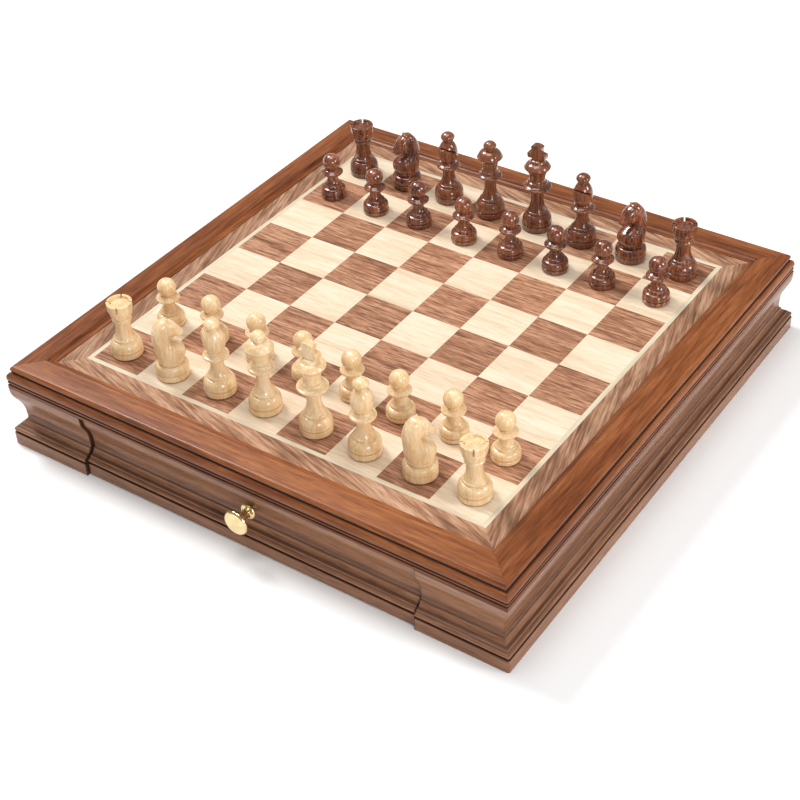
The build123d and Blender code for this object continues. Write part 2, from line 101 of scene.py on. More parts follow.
def softened(stations, soft, steps=7):
    """Dense outline through the stations, with each sharp corner eased over a length soft by
    a parabola between the points that far before and after it."""
    points, corners = [np.array(stations[0][:2], float)], [0]
    for start, end in zip(stations[:-1], stations[1:]):
        bulge = end[2] if len(end) == 3 else 0.0
        points.extend(arc_points(start[:2], end[:2], bulge, steps))
        corners.append(len(points) - 1)
    points = np.array(points)
    run = np.concatenate([[0], np.cumsum(np.hypot(*np.diff(points, axis=0).T))])

    def at(place):
        return np.array([np.interp(place, run, points[:, 0]), np.interp(place, run, points[:, 1])])

    kept = np.ones(len(points), bool)
    eased = []
    for before, corner, after in zip(corners[:-2], corners[1:-1], corners[2:]):
        coming = points[corner] - points[corner - 1]
        going = points[corner + 1] - points[corner]
        turn = math.atan2(coming[0] * going[1] - coming[1] * going[0], coming @ going)
        if abs(turn) < 0.3:
            continue
        room = min(run[corner] - run[before], run[after] - run[corner])
        reach = min(soft, 0.4 * room)
        kept &= (run < run[corner] - reach) | (run > run[corner] + reach)
        first, last = at(run[corner] - reach), at(run[corner] + reach)
        for share in (0, 0.25, 0.5, 0.75, 1):
            eased.append((
                run[corner] - reach + 2 * reach * share,
                (1 - share) ** 2 * first + 2 * share * (1 - share) * points[corner] + share**2 * last,
            ))
        hold = min(0.12, 0.08 * room)
        for place in (run[corner] - reach - hold, run[corner] + reach + hold):
            eased.append((place, at(place)))
    rows = [(place, point) for place, point, keep in zip(run, points, kept) if keep] + eased
    rows.sort(key=lambda row: row[0])
    line = np.array([point for _, point in rows])
    apart = np.concatenate([[True], np.hypot(*np.diff(line, axis=0).T) > 1e-4])
    return line[apart]


def through(stations, count):
    """Catmull-Rom curve of count points through the rows of stations."""
    stations = np.array(stations, float)
    gap_shade_x = np.concatenate([[2 * stations[0] - stations[1]], stations, [2 * stations[-1] - stations[-2]]])
    place = np.linspace(0, len(stations) - 1, count)
    index = np.minimum(place.astype(int), len(stations) - 2)
    t = (place - index)[:, None]
    a, b, c, d = gap_shade_x[index], gap_shade_x[index + 1], gap_shade_x[index + 2], gap_shade_x[index + 3]
    return 0.5 * (2 * b + (c - a) * t + (2 * a - 5 * b + 4 * c - d) * t**2 + (3 * b - a - 3 * c + d) * t**3)


# ------------------------------------------------------------------ meshes
def made_object(name, points, faces, material, sharp=35):
    """Mesh object from points in millimetres, smooth but for edges sharper than an angle."""
    mesh = bpy.data.meshes.new(name)
    mesh.from_pydata((np.asarray(points, float) * MM).tolist(), [], faces)
    mesh.validate()
    mesh.shade_smooth()
    mesh.set_sharp_from_angle(angle=math.radians(sharp))
    mesh.materials.append(material)
    piece = bpy.data.objects.new(name, mesh)
    bpy.context.scene.collection.objects.link(piece)
    return piece


def grid_faces(rows, columns, offset=0, close_columns=True):
    """Four-sided faces of a grid of rows x columns points, closed round the columns."""
    wide = columns if close_columns else columns - 1
    i, j = np.meshgrid(np.arange(rows - 1), np.arange(wide), indexing="ij")
    k = (j + 1) % columns
    faces = np.stack([i * columns + j, i * columns + k, (i + 1) * columns + k, (i + 1) * columns + j], -1)
    return (faces.reshape(-1, 4) + offset).tolist()


def pole_faces(first, around, pole, above):
    """Triangles between the ring of points from first on and a pole above or below it."""
    ring = first + np.arange(around)
    after = first + (np.arange(around) + 1) % around
    poles = np.full(around, pole)
    return np.stack([ring, after, poles] if above else [poles, after, ring], -1).tolist()


def turned_surface(outline, around):
    """Surface of turning as (points, faces): the outline's point (r, z) at angle a goes to
    (r cos a, r sin a, z). Ends on the axis become one point with a fan round it."""
    low_pole, high_pole = outline[0, 0] < 1e-6, outline[-1, 0] < 1e-6
    body = outline[int(low_pole): len(outline) - int(high_pole)]
    angle = np.linspace(0, 2 * math.pi, around, endpoint=False)
    points = np.stack([
        body[:, :1] * np.cos(angle),
        body[:, :1] * np.sin(angle),
        np.repeat(body[:, 1:], around, axis=1),
    ], -1).reshape(-1, 3)
    faces = grid_faces(len(body), around)
    if low_pole:
        faces += pole_faces(0, around, len(points), False)
        points = np.vstack([points, [0, 0, outline[0, 1]]])
    if high_pole:
        faces += pole_faces((len(body) - 1) * around, around, len(points), True)
        points = np.vstack([points, [0, 0, outline[-1, 1]]])
    return points, faces


def moulding(name, section, turn, low, high, material, corner=0.0, soft=0.35):
    """A section carried straight along one side of the case. Local w runs outwards at the
    angle turn and t along the side; t ends at the numbers low and high, or at the mitre
    t = -w or t = w where they are None. Beyond the corner radius the section swings round
    its upright corner by up to 45 degrees."""
    outline = softened(section + [section[0][:2]], soft)[:-1]
    w, z = outline[:, 0], outline[:, 1]
    bend = w.max() - corner
    over = np.maximum(w - bend, 0)
    joint = 0.06

    def mitre(sign):
        rows = []
        for turn_part in np.linspace(1, 0, 6 if corner else 1):
            phi = math.radians(45) * turn_part
            out = np.where(over > 0, bend + over * math.cos(phi), w) if corner else w
            inside = w - 1.2 * (1 - turn_part)
            far = np.where(over > 0, bend + over * math.sin(phi), inside) if corner else w
            rows.append((out, sign * (far - joint)))
        return rows[::-1] if sign > 0 else rows

    start = mitre(-1) if low is None else [(w, np.full_like(w, low))]
    finish = mitre(1) if high is None else [(w, np.full_like(w, high))]
    rows = start + finish
    angle = math.radians(turn)
    out, along = np.array([math.cos(angle), math.sin(angle)]), np.array([-math.sin(angle), math.cos(angle)])
    points = np.stack([
        np.column_stack([o[:, None] * out + t[:, None] * along, z]) for o, t in rows
    ])
    count = len(w)
    order = np.swapaxes(points, 0, 1).reshape(-1, 3)
    i, j = np.meshgrid(np.arange(count), np.arange(len(rows) - 1), indexing="ij")
    k = (i + 1) % count
    wide = len(rows)
    faces = np.stack([i * wide + j, i * wide + j + 1, k * wide + j + 1, k * wide + j], -1)
    faces = faces.reshape(-1, 4).tolist()
    faces.append([i * wide for i in range(count)])
    faces.append([i * wide + wide - 1 for i in range(count)][::-1])
    return made_object(name, order, faces, material)


def eased_edges(piece, width, segments=2, angle=50):
    """Live bevel on the piece's sharp edges."""
    bevel = piece.modifiers.new("eased", "BEVEL")
    bevel.width = width * MM
    bevel.segments = segments
    bevel.limit_method = "ANGLE"
    bevel.angle_limit = math.radians(angle)
    bevel.harden_normals = False


# ------------------------------------------------------------------ materials
class Shader:
    """A material's node tree, written as expressions."""

    def __init__(self, name):
        self.material = bpy.data.materials.new(name)
        self.material.use_nodes = True
        self.tree = self.material.node_tree
        self.surface = self.tree.nodes["Principled BSDF"]

    def node(self, kind, settings=None, **inputs):
        made = self.tree.nodes.new(kind)
        for key, value in (settings or {}).items():
            setattr(made, key, value)
        for key, value in inputs.items():
            socket = made.inputs[int(key[1:])] if key[0] == "i" and key[1:].isdigit() else made.inputs[key]
            self.put(socket, value)
        return made

    def put(self, socket, value):
        if isinstance(value, bpy.types.NodeSocket):
            self.tree.links.new(value, socket)
        else:
            socket.default_value = value

    def math(self, operation, a, b=0.0, c=0.0):
        return self.node("ShaderNodeMath", {"operation": operation}, i0=a, i1=b, i2=c).outputs[0]

    def vector(self, operation, a, b=(0, 0, 0)):
        return self.node("ShaderNodeVectorMath", {"operation": operation}, i0=a, i1=b).outputs[0]

    def noise(self, where, scale, detail=3.0, rough=0.55):
        made = self.node("ShaderNodeTexNoise", Vector=where, Scale=scale, Detail=detail, Roughness=rough)
        return made.outputs[0]

    def span(self, value, low, high, new_low=0.0, new_high=1.0):
        made = self.node("ShaderNodeMapRange", {"clamp": True})
        for index, number in enumerate((value, low, high, new_low, new_high)):
            self.put(made.inputs[index], number)
        return made.outputs[0]

    def mixed(self, share, first, second, blend="MIX"):
        made = self.node("ShaderNodeMix", {"data_type": "RGBA", "blend_type": blend})
        self.put(made.inputs[0], share)
        self.put(made.inputs[6], first)
        self.put(made.inputs[7], second)
        return made.outputs[2]

    def ramp(self, share, stops):
        made = self.node("ShaderNodeValToRGB", Fac=share)
        while len(made.color_ramp.elements) < len(stops):
            made.color_ramp.elements.new(0.5)
        for element, (place, colour) in zip(made.color_ramp.elements, stops):
            element.position = place
            element.color = (*colour, 1)
        return made.outputs[0]

    def bump(self, height, strength, distance):
        made = self.node("ShaderNodeBump", Height=height, Strength=strength, Distance=distance)
        return made.outputs[0]

    def set(self, **inputs):
        for key, value in inputs.items():
            self.put(self.surface.inputs[key.replace("_", " ")], value)
        return self.material


def wood(name, stops, grain, pore_and_shade=(0.2, 0.1, 0.06), pores=0.5, rough=(0.35, 0.5), coat=0.0,
         coat_rough=0.15, relief=0.15, cell=0.0, cell_change=0.12, broad=70, fine=380, figure=0.006,
         long=14, slant=0.0, share_fine=0.45, spread=0.13, vein=0.0, warm=None, recess_shade=(),
         turned_tone=1.0, gap_shade_x=0.0, shine=0.4):
    """Sawn or turned wood. Noise is drawn out along the grain: broad figure, fine streaks,
    sparse dark veins and short dark pores. grain is x, y or z, or sides for pieces that run
    along each side of the case, where slant is how far the grain climbs across per length.
    cell is the size of a square cell whose own number shifts the figure and the tone. glaze
    lists heights (z, half width, strength) of bands of painted shade in the quirks.
    turned_tone darkens the pieces along y; ends is the x of the gaps beside the drawer, where
    the cut ends are darkened with painted shade."""
    s = Shader(name)
    place = s.node("ShaderNodeTexCoord").outputs["Object"]
    apart = s.node("ShaderNodeSeparateXYZ", Vector=place).outputs
    x, y, z = apart[0], apart[1], apart[2]
    if grain == "sides":
        side = s.math("GREATER_THAN", s.math("ABSOLUTE", x), s.math("ABSOLUTE", y))
        turn = s.math("SUBTRACT", y, x)
        along = s.math("MULTIPLY_ADD", side, turn, x)
        across = s.math("SUBTRACT", y, s.math("MULTIPLY", side, turn))
        depth = s.math("MULTIPLY_ADD", side, 3.1, z)
    else:
        along, across, depth = {"x": (x, y, z), "y": (y, x, z), "z": (z, x, y)}[grain]
    across = s.math("MULTIPLY_ADD", along, slant, across)
    drawn_out = s.math("MULTIPLY", along, 1 / long)
    spot = s.node("ShaderNodeCombineXYZ", i0=drawn_out, i1=across, i2=depth).outputs[0]
    tone = None
    if cell:
        index = s.vector("FLOOR", s.vector("DIVIDE", place, (cell, cell, 1.0)))
        own = s.node("ShaderNodeTexWhiteNoise", {"noise_dimensions": "3D"}, Vector=index)
        spot = s.vector("ADD", spot, s.vector("MULTIPLY", own.outputs[1], (5, 5, 5)))
        tone = own.outputs[0]
    drift = s.node("ShaderNodeTexNoise", Vector=spot, Scale=14.0, Detail=2.0).outputs[1]
    spot = s.vector("ADD", spot, s.vector("MULTIPLY", s.vector("SUBTRACT", drift, (0.5, 0.5, 0.5)),
                                          (figure, figure, figure)))
    figure_value = s.noise(spot, broad, 3.0, 0.6)
    streak = s.noise(spot, fine, 2.0, 0.6)
    fleck = s.noise(spot, fine * 2.6, 1.0, 0.5)
    coarse_part = s.math("MULTIPLY", figure_value, 1 - share_fine)
    share = s.math("ADD", coarse_part, s.math("MULTIPLY", streak, share_fine))
    share = s.span(share, 0.5 - spread, 0.5 + spread)
    colour = s.ramp(share, stops)
    if vein:
        line = s.noise(s.vector("ADD", spot, (7, 3, 1)), fine * 0.6, 2.0, 0.7)
        colour = s.mixed(s.math("MULTIPLY", s.span(line, 0.57, 0.68), vein), colour, (*pore_and_shade, 1))
    mask = s.math("MULTIPLY", s.span(fleck, 0.54, 0.66), pores)
    colour = s.mixed(mask, colour, (*pore_and_shade, 1))
    if tone is not None:
        change = s.span(tone, 0, 1, 1 - cell_change, 1 + cell_change)
        grey = s.node("ShaderNodeCombineColor", i0=change, i1=change, i2=change).outputs[0]
        colour = s.mixed(1.0, colour, grey, "MULTIPLY")
        if warm:
            own_warm = s.span(s.math("FRACT", s.math("MULTIPLY", tone, 7.3)), 0.5, 1.0, 0.0, 0.6)
            colour = s.mixed(own_warm, colour, (*warm, 1))
    if turned_tone != 1:
        change = s.math("MULTIPLY_ADD", side, turned_tone - 1, 1.0)
        grey = s.node("ShaderNodeCombineColor", i0=change, i1=change, i2=change).outputs[0]
        colour = s.mixed(1.0, colour, grey, "MULTIPLY")
    # painted shade: the cut ends in the gaps beside the drawer front go dark near x = ends, on the front
    # half only
    if gap_shade_x:
        off = s.math("ABSOLUTE", s.math("SUBTRACT", s.math("ABSOLUTE", x), (gap_shade_x - 0.4) * MM))
        shade = s.math("MULTIPLY", s.span(off, 0.7 * MM, 1.0 * MM, 0.9, 0.0), s.math("LESS_THAN", y, 0.0))
        colour = s.mixed(shade, colour, (*pore_and_shade, 1))
    # painted shade: the colour goes dark in a band round each height listed in glaze, where the quirks lie
    # in shadow
    for height, half, strength in recess_shade:
        off = s.math("ABSOLUTE", s.math("SUBTRACT", z, height * MM))
        colour = s.mixed(s.span(off, half * 0.5 * MM, half * MM, strength, 0.0), colour, (*pore_and_shade, 1))
    height = s.math("SUBTRACT", s.math("MULTIPLY", streak, 0.6), mask)
    s.set(Base_Color=colour, Roughness=s.span(share, 0, 1, *rough), Coat_Weight=coat,
          Coat_Roughness=coat_rough, Specular_IOR_Level=shine, Normal=s.bump(height, relief, 0.0003))
    return s.material


maple = wood(
    "maple_squares", [(0.0, (0.66, 0.51, 0.35)), (0.5, (0.76, 0.61, 0.44)), (1.0, (0.82, 0.68, 0.52))],
    "x", pore_and_shade=(0.50, 0.39, 0.26), pores=0.3, rough=(0.42, 0.5), cell=square * MM, cell_change=0.025,
    shine=0.2, relief=0.03, broad=80, fine=420, long=12,
)
walnut = wood(
    "walnut_squares", [(0.0, (0.21, 0.092, 0.047)), (0.5, (0.41, 0.195, 0.108)), (1.0, (0.56, 0.31, 0.188))],
    "x", pore_and_shade=(0.10, 0.038, 0.022), pores=0.6, rough=(0.42, 0.52), cell=square * MM, cell_change=0.07,
    shine=0.2, relief=0.12, broad=150, fine=650, long=12, share_fine=0.6, spread=0.12, vein=0.6,
)
maple_line = wood(
    "maple_line", [(0.0, (0.60, 0.50, 0.35)), (1.0, (0.70, 0.62, 0.47))], "sides",
    pore_and_shade=(0.5, 0.38, 0.25), pores=0.3, relief=0.03,
)
border_wood = wood(
    "border_veneer",
    [(0.0, (0.17, 0.080, 0.043)), (0.35, (0.32, 0.158, 0.088)), (0.7, (0.47, 0.265, 0.158)),
     (1.0, (0.56, 0.345, 0.222))],
    "sides", pore_and_shade=(0.15, 0.07, 0.04), pores=0.35, broad=130, fine=520, figure=0.02, long=10, slant=0.3,
    share_fine=0.5, spread=0.15, vein=0.55, relief=0.08, shine=0.2, turned_tone=0.85,
)
# bands of painted shade darkening the quirks and the line under the frame: height, half width and strength
under_frame_shade = (rail_foot, 0.7, 0.85)
frame_quirk_shade = [
    (rail_foot + 2.7, 0.8, 0.85), (rail_foot + 5.0, 0.7, 0.8), (nose_top - 4.2, 0.9, 0.85), under_frame_shade,
]
case_quirk_shade = [
    (fascia_height + 1.05, 0.8, 0.9), (fascia_height + 4.9, 0.5, 0.5), (fascia_height + 6.2, 0.5, 0.6),
    (fascia_height + 11.5, 2.6, 0.45), under_frame_shade,
]
frame_wood = wood(
    "frame_stain", [(0.0, (0.115, 0.028, 0.007)), (0.5, (0.225, 0.067, 0.018)), (1.0, (0.35, 0.122, 0.038))],
    "sides", pore_and_shade=(0.035, 0.010, 0.004), pores=0.35, rough=(0.30, 0.42), coat=0.08, coat_rough=0.14,
    shine=0.25, broad=55, fine=420, relief=0.2, spread=0.15, recess_shade=frame_quirk_shade,
)
case_wood = wood(
    "case_stain", [(0.0, (0.15, 0.060, 0.025)), (0.5, (0.27, 0.118, 0.056)), (1.0, (0.37, 0.182, 0.095))],
    "sides", pore_and_shade=(0.04, 0.014, 0.008), pores=0.35, rough=(0.30, 0.42), coat=0.2, coat_rough=0.12,
    shine=0.3, broad=50, fine=420, relief=0.25, spread=0.17, recess_shade=case_quirk_shade, gap_shade_x=opening_half,
)
core_wood = wood(
    "core_board", [(0.0, (0.38, 0.26, 0.15)), (1.0, (0.56, 0.42, 0.28))], "x", pores=0.3, rough=(0.6, 0.75),
    broad=40,
)
board_stops = [(0.0, (0.40, 0.26, 0.14)), (0.5, (0.51, 0.36, 0.22)), (1.0, (0.62, 0.47, 0.31))]
plain_wood = wood("plain_board", board_stops, "y", pores=0.35, rough=(0.5, 0.62), broad=45)
cross_wood = wood("cross_board", board_stops, "x", pores=0.35, rough=(0.5, 0.62), broad=45)
boxwood = wood(
    "pale_men", [(0.0, (0.72, 0.46, 0.215)), (0.5, (0.82, 0.575, 0.31)), (1.0, (0.88, 0.68, 0.43))],
    "z", pore_and_shade=(0.5, 0.30, 0.12), pores=0.15, rough=(0.30, 0.40), coat=0.6, coat_rough=0.12,
    relief=0.04, cell=square * MM, cell_change=0.04, broad=150, fine=700, long=7, figure=0.003,
)
lacquered = wood(
    "dark_men", [(0.0, (0.045, 0.010, 0.004)), (0.45, (0.19, 0.048, 0.016)), (1.0, (0.38, 0.125, 0.044))],
    "z", pore_and_shade=(0.012, 0.003, 0.002), pores=0.5, rough=(0.20, 0.30), coat=1.0, coat_rough=0.07,
    relief=0.06, cell=square * MM, cell_change=0.2, broad=190, fine=620, long=7, figure=0.004,
    share_fine=0.5, spread=0.15, vein=0.6, warm=(0.26, 0.080, 0.026),
)


def felt(name, colour, deep):
    """Short napped felt: two sizes of speckle, a soft sheen and a fuzzy relief."""
    s = Shader(name)
    place = s.node("ShaderNodeTexCoord").outputs["Object"]
    speckle = s.noise(place, 2400.0, 3.0, 0.7)
    cloud = s.noise(place, 160.0, 2.0, 0.5)
    share = s.span(s.math("ADD", s.math("MULTIPLY", speckle, 0.7), s.math("MULTIPLY", cloud, 0.3)), 0.3, 0.7)
    s.set(Base_Color=s.mixed(share, (*deep, 1), (*colour, 1)), Roughness=0.95, Sheen_Weight=0.4,
          Normal=s.bump(speckle, 0.6, 0.0004))
    return s.material


def metal(name, colour, rough, brushed):
    """Polished or brushed metal with faint turning marks and uneven polish."""
    s = Shader(name)
    place = s.node("ShaderNodeTexCoord").outputs["Object"]
    cloud = s.noise(place, 220.0, 3.0, 0.6)
    marks = s.noise(s.vector("MULTIPLY", place, (0.25, 6.0, 0.25)), 1500.0, 2.0, 0.5)
    darker = tuple(0.82 * c for c in colour)
    s.set(Base_Color=s.mixed(s.span(cloud, 0.35, 0.65), (*darker, 1), (*colour, 1)), Metallic=1.0,
          Roughness=s.span(cloud, 0.3, 0.7, rough, rough * 1.6), Normal=s.bump(marks, brushed, 0.00005))
    return s.material


green_felt = felt("drawer_felt", (0.030, 0.12, 0.06), (0.015, 0.07, 0.035))
base_felt = felt("pad_felt", (0.05, 0.045, 0.04), (0.02, 0.018, 0.016))
brass = metal("polished_brass", (0.88, 0.70, 0.38), 0.12, 0.04)
steel = metal("zinc_steel", (0.56, 0.56, 0.58), 0.3, 0.2)

node_finish = {
    "light_squares": maple, "dark_squares": walnut, "line_inlay": maple_line,
    "veneer_border": border_wood, "board_panel": core_wood, "floor_panel": core_wood,
    "glue_blocks": plain_wood, "drawer_guides": plain_wood, "drawer_kickers": plain_wood,
    "drawer_stop": cross_wood, "drawer_side_left": plain_wood, "drawer_side_right": plain_wood,
    "drawer_back": cross_wood, "drawer_bottom": core_wood, "drawer_lining": green_felt,
    "drawer_divider": plain_wood, "knob_screw": steel,
}
for node_name, finish_material in node_finish.items():
    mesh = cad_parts[node_name].data
    mesh.materials.clear()
    mesh.materials.append(finish_material)


def stands_for(piece, node, body):
    """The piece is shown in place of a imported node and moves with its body."""
    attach(piece, body)
    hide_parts(node)


# ------------------------------------------------------------------ frame and walls
groove = panel_half + panel_play
moulding_ease = 0.45  # how far the moulding's sharp edges are rubbed down
rail_corner, wall_corner = 0.8, 1.6  # radius of the upright corners
end_ease = 0.5  # bevel on the cut ends beside the drawer
rail_section = [
    (ledge_half, rail_foot),
    (nose_half + 2.7, rail_foot),
    (nose_half + 2.7, rail_foot + 1.9),
    (nose_half + 1.7, rail_foot + 2.4),
    (nose_half + 1.7, rail_foot + 3.0),
    (nose_half + 2.5, rail_foot + 3.4),
    (nose_half + 2.5, rail_foot + 4.4),
    (nose_half + 1.8, rail_foot + 4.7),
    (nose_half + 1.8, rail_foot + 5.3),
    (nose_half + 2.4, rail_foot + 5.7),
    (nose_half + 0.5, nose_top - 4.8, 1.0),
    (nose_half - 0.7, nose_top - 4.6),
    (nose_half - 0.7, nose_top - 3.7),
    (nose_half - 0.1, nose_top - 3.3),
    (nose_half - 1.7, nose_top, 0.8),
    (crown_half + 0.8, crown_top, 0.1),
    (crown_half - 0.3, crown_top - 0.6, 0.25),
    (border_half + 0.5, board_top + 0.7, -0.5),
    (border_half, board_top + 0.4, 0.1),
    (border_half, board_top),
    (groove, board_top),
    (groove, core_foot),
    (ledge_half, core_foot),
]
for rail, turn in (("rail_right", 0), ("rail_back", 90), ("rail_left", 180), ("rail_front", 270)):
    piece = moulding(rail + "_moulded", rail_section, turn, None, None, frame_wood,
                     corner=rail_corner, soft=moulding_ease)
    stands_for(piece, rail, "case")


# the wall above the fascia: set back from the base, height over the fascia[, bulge]
wall_moulding = [
    (0, 0), (0.5, 0.6, 0.15), (1.8, 0.7), (1.8, 1.4), (1.0, 1.7), (1.4, 4.3, 0.9), (2.4, 4.6),
    (2.7, 5.7), (3.5, 6.0), (6.6, 8.5, -0.4), (7.6, 9.9, 0.5), (7.8, 15.0, -0.3), (5.0, 26.6, -0.9),
    (2.6, 33.6, 0.5),
]
wall_top_back = 2.3


def wall_section(shift, low, high):
    """Section of the case wall, set back by shift and cut to a height."""
    face = base_half - shift
    stations = [(face - back, fascia_height + up, *bulge) for back, up, *bulge in wall_moulding]
    return [
        (face, low), *stations, (face - wall_top_back, high), (inner_half - shift, high),
        (inner_half - shift, low),
    ]


for wall, turn in (("side_wall_right", 0), ("back_wall", 90), ("side_wall_left", 180)):
    piece = moulding(wall + "_moulded", wall_section(0, 0, rail_foot), turn, None, None, case_wood,
                     corner=wall_corner, soft=moulding_ease)
    stands_for(piece, wall, "case")
block_ends = {"corner_block_left": (None, -opening_half), "corner_block_right": (opening_half, None)}
for block, (low, high) in block_ends.items():
    piece = moulding(block + "_moulded", wall_section(0, 0, rail_foot), 270, low, high, case_wood,
                     corner=wall_corner, soft=moulding_ease)
    eased_edges(piece, end_ease)
    stands_for(piece, block, "case")
piece = moulding("drawer_front_moulded",
                 wall_section(drawer_recess, front_low.z / MM, front_high.z / MM), 270,
                 front_low.x / MM, front_high.x / MM, case_wood, soft=moulding_ease)
eased_edges(piece, end_ease)
stands_for(piece, "drawer_front", "drawer")

# ------------------------------------------------------------------ knob
knob_low, knob_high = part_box("knob")
knob_x, knob_z = (knob_low.x + knob_high.x) / 2 / MM, (knob_low.z + knob_high.z) / 2 / MM
knob_section = [
    (0, 0),
    (2.6, 0),
    (2.6, 2.4),
    (4.6, 3.2, 0.1),
    (4.6, 5.8, 0.9),
    (2.9, 6.6, -0.2),
    (3.0, 11.4, -0.3),
    (6.9, 14.6, -0.7),
    (8.2, 15.2, 0.1),
    (8.2, 17.0, 0.35),
    (7.4, 17.6, 0.1),
    (0, 18.1, 0.12),
]
points, faces = turned_surface(softened(knob_section, 0.2), 96)
seat = knob_high.y / MM
points = np.column_stack([points[:, 0] + knob_x, seat - points[:, 2], points[:, 1] + knob_z])
piece = made_object("knob_turned", points, faces, brass)
stands_for(piece, "knob", "drawer")


# ------------------------------------------------------------------ men
def foot(radius, ring, shoulder):
    """Foot of every man: a flat ring, a groove and a swelling that closes on the stem."""
    return [
        (0, pad),
        (radius - 0.4, pad),
        (radius, pad + 0.5, 0.15),
        (radius, ring, 0.05),
        (radius - 0.9, ring + 0.4, 0.1),
        (radius - 0.9, ring + 0.8),
        (radius, ring + 1.4, 0.2),
        (radius - 0.2, ring + 2.6, 0.1),
        (0.76 * radius, shoulder, 0.7),
        (0.70 * radius, shoulder + 0.2),
        (0.69 * radius, shoulder + 2.0, 0.25),
        (0.64 * radius, shoulder + 2.3),
    ]


def dome(radius, rise):
    """Bulge of the arc over a round top, from its rim to the axis, level on the axis."""
    ball = (radius**2 + rise**2) / (2 * rise)
    return ball - math.sqrt(ball**2 - (radius**2 + rise**2) / 4)


big, small, knight_foot = 10.4, 9.2, 10.7
knight_turn = math.radians(28)
sections = {
    "pawn": foot(small, 3.0, 8.6) + [
        (3.9, 16.6, -0.75), (4.1, 18.6, -0.1), (7.0, 19.2, -0.1), (7.0, 21.2, 0.75), (3.9, 23.2, 0.15),
        (6.3, 28.1, 0.57), (0, 34.4, dome(6.3, 6.3)),
    ],
    "rook": foot(big, 4.0, 11.4) + [
        (5.0, 22.4, -0.5), (5.1, 25.8, -0.1), (5.9, 26.4), (5.9, 28.0, 0.4), (5.6, 28.4), (7.2, 32.4, 0.35),
        (7.6, 34.0, 0.1), (7.4, 34.2), (7.4, 34.5), (8.0, 34.7), (8.1, 36.0), (8.3, 39.6), (7.9, 40.2, 0.2),
        (6.3, 40.2), (6.0, 38.5, -0.1), (5.2, 38.5), (0, 38.5),
    ],
    "bishop": foot(big, 4.4, 12.0) + [
        (4.3, 23.2, -0.8), (4.4, 26.2, -0.1), (7.9, 27.4, -0.4), (7.9, 29.2, 0.45), (5.2, 31.0, -0.3),
        (4.6, 31.6, 0.2), (6.9, 39.2, 0.9), (3.2, 48.0, 1.0), (2.9, 48.8, -0.2), (4.5, 50.0, 0.4),
        (4.5, 52.6, 0.5), (0, 54.8, dome(4.5, 2.2)),
    ],
    "queen": foot(big, 4.4, 12.2) + [
        (4.2, 25.0, -0.8), (4.4, 29.4, -0.1), (8.0, 31.0, -0.5), (8.0, 32.8, 0.45), (5.9, 34.6, -0.3),
        (5.9, 35.8, 0.35), (5.4, 36.2), (5.6, 41.2, -0.4), (8.6, 46.0, -0.7), (8.6, 47.8, 0.5),
        (4.0, 52.2, 0.9), (3.6, 53.0, -0.2), (4.3, 54.4, 0.4), (4.3, 56.4, 0.35), (0, 58.8, dome(4.3, 2.4)),
    ],
    "king": foot(big, 4.4, 12.6) + [
        (4.5, 26.6, -0.8), (4.6, 30.8, -0.1), (9.4, 33.0, -0.8), (9.5, 34.6, 0.5), (6.6, 36.6, -0.3),
        (6.4, 37.8, 0.35), (5.8, 38.2), (5.6, 41.2, -0.3), (8.8, 48.2, -0.7), (8.8, 50.0, 0.5),
        (5.8, 52.6, 0.4), (5.4, 53.0), (2.7, 55.0, 0.5), (0, 55.0),
    ],
    "knight": [
        (0, pad), (knight_foot - 0.4, pad), (knight_foot, pad + 0.5, 0.15), (knight_foot, 4.4, 0.05),
        (knight_foot - 0.5, 4.7, 0.1), (knight_foot - 0.5, 4.9), (knight_foot, 5.7, 0.2),
        (knight_foot - 0.4, 9.0, 0.2), (8.2, 10.8, 0.4), (7.9, 11.8, -0.4), (8.6, 12.6, 0.1),
        (8.6, 13.4, 0.3), (0, 14.0),
    ],
}
foot_radius = {"pawn": small, "knight": knight_foot}
slot_turns = np.radians([30, 120, 210, 300])
slot_floor, dish_radius = 36.0, 5.3


def rook_tower():
    """The rook's turned surface with four slots. Columns of points stand close together at
    each slot's two faces, and between them every point outside the dish and above the
    slot's floor is let down to the floor."""
    outline = softened(sections["rook"], 0.15)
    half = 0.07
    angle = []
    for slot in slot_turns:
        angle += [slot - half - 0.004, slot - half + 0.004, slot, slot + half - 0.004, slot + half + 0.004]
        angle += list(slot + half + 0.004 + (math.pi / 2 - 2 * half - 0.016) * np.arange(1, 16) / 16)
    angle = np.array(angle)
    around = len(angle)
    aside = (angle[:, None] - slot_turns + math.pi) % (2 * math.pi) - math.pi
    inside = np.min(np.abs(aside), axis=1) < half
    body = outline[1:-1]
    r, z = (np.broadcast_to(column[:, None], (len(body), around)) for column in body.T)
    z = np.where(inside & (r > dish_radius) & (z > slot_floor), slot_floor, z)
    points = np.stack([r * np.cos(angle), r * np.sin(angle), z], -1).reshape(-1, 3)
    faces = grid_faces(len(body), around)
    faces += pole_faces(0, around, len(points), False)
    faces += pole_faces((len(body) - 1) * around, around, len(points) + 1, True)
    points = np.vstack([points, [0, 0, outline[0, 1]], [0, 0, outline[-1, 1]]])
    return points, faces


def bishop_head(facing):
    """The bishop's turned surface with a slanting cut in front: where a point lies within the
    cut's half width of a plane that rises forwards, its radius shrinks by up to the depth."""
    points, faces = turned_surface(softened(sections["bishop"], 0.15, steps=22), 120)
    x, y, z = points.T
    slant = math.radians(30)
    off = (z - 43.0) * math.cos(slant) - (facing * y - 5.0) * math.sin(slant)
    depth = np.clip((0.55 - np.abs(off)) / 0.12, 0, 1) * np.clip((facing * y - 0.4) / 0.5, 0, 1)
    depth *= (z > 37) & (z < 48)
    r = np.maximum(np.hypot(x, y), 1e-6)
    shrink = 1 - depth * np.minimum(2.2, r * 0.5) / r
    return np.column_stack([x * shrink, y * shrink, z]), faces


